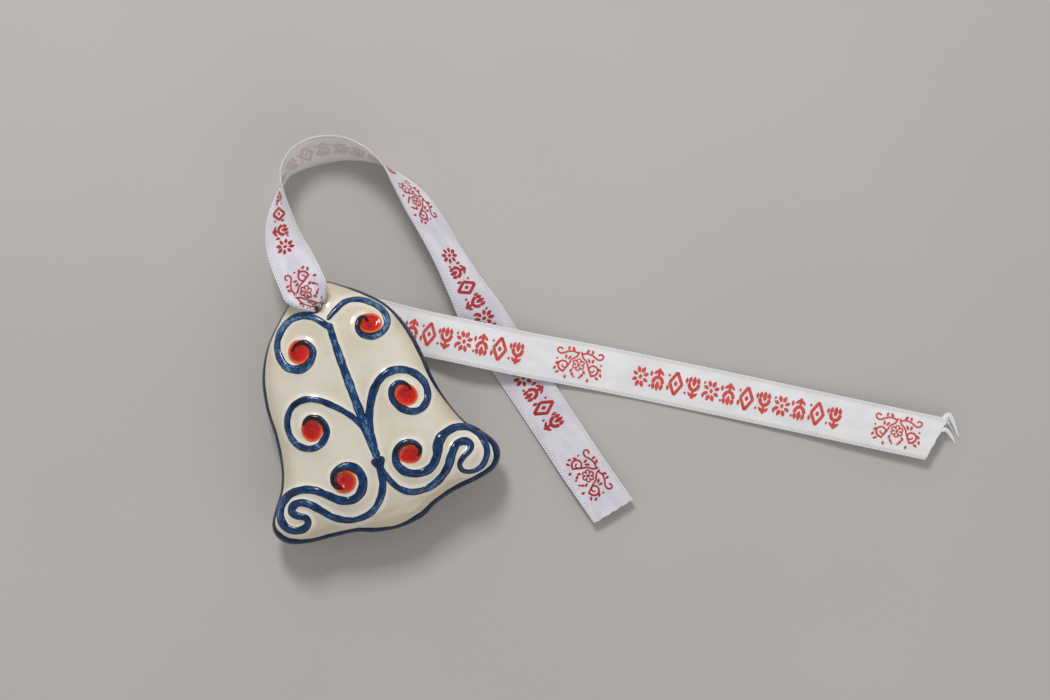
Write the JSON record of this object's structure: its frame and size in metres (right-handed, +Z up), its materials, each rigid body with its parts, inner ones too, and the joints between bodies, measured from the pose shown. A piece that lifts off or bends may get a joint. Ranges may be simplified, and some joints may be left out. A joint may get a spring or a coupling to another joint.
{
  "type": "porcelain bell ornament",
  "caption": "Flat, hollow, glazed porcelain bell ornament with raised blue scrolls and red enamel dots, hung on a satin ribbon through its crown.",
  "frame": {"origin": "on the surface that the bell lies on, under the middle of the bell's outline", "axes": "+Z up out of the decorated front face, +Y towards the crown and the hanging hole, +X towards the right-hand lip"},
  "size_m": [0.223, 0.172, 0.0228],
  "materials": {
    "porcelain": "glossy ivory glaze",
    "cobalt_glaze": "brushed cobalt blue under a glossy clear glaze",
    "red_enamel": "glossy red-orange enamel",
    "satin": "white satin ribbon with a red print"
  },
  "bodies": {
    "bell": {"front_shell": "porcelain", "back_shell": "porcelain", "seam_band": "cobalt_glaze", "rim_crease": "porcelain", "stem": "cobalt_glaze", "knot": "cobalt_glaze", "scroll_upper_left": "cobalt_glaze", "scroll_upper_right": "cobalt_glaze", "scroll_middle_left": "cobalt_glaze", "scroll_middle_right": "cobalt_glaze", "scroll_lower_left": "cobalt_glaze", "scroll_lower_right": "cobalt_glaze", "dot_upper_left": "red_enamel", "dot_upper_right": "red_enamel", "dot_middle_left": "red_enamel", "dot_middle_right": "red_enamel", "dot_lower_left": "red_enamel", "dot_lower_right": "red_enamel"},
    "ribbon": {"ribbon_front_strand": "satin", "ribbon_back_strand": "satin"}
  },
  "joints": [
    {"name": "ribbon_swing", "type": "hinge", "parent": "bell", "child": "ribbon", "pos_m": [-0.001, 0.0355, 0], "axis": [0, 0, 1], "range_deg": [-6, 20]}
  ]
}
